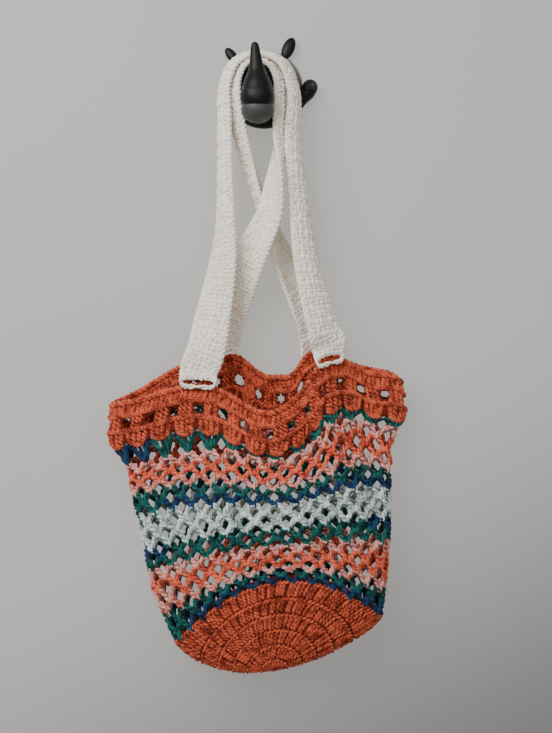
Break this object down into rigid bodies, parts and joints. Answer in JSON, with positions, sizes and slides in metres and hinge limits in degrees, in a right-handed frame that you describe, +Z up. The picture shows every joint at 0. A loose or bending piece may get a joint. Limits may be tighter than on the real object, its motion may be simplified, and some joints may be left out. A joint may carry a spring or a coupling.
{
  "type": "crocheted net bag on wall hook",
  "caption": "Crocheted net tote with a round base, a dense rim and two shoulder straps, hung by both straps on an animal-head wall hook.",
  "frame": {"origin": "middle of the hook's flat back, on the wall", "axes": "+Y is the wall hook's back face's outward direction, into the wall; +Z is up, along the hung bag's longest extent; +X is to the right of someone who faces the wall"},
  "size_m": [0.3324, 0.091, 0.7166],
  "materials": {
    "coral_cotton": "matt crocheted yarn, coral",
    "striped_cotton": "matt crocheted yarn in coloured rounds: teal, pink, coral, blue and white",
    "white_cotton": "matt crocheted yarn, warm white",
    "black_resin": "glossy black resin",
    "grey_resin": "glossy dark grey resin"
  },
  "bodies": {
    "root": {"base_disc": "coral_cotton", "net_wall": "striped_cotton", "rim_band": "coral_cotton", "strap_front": "white_cotton", "strap_back": "white_cotton", "hook_base": "grey_resin", "hook_head": "black_resin", "hook_horn": "black_resin", "hook_ear_left": "black_resin", "hook_ear_right": "black_resin", "hook_lug": "black_resin"}
  },
  "joints": []
}
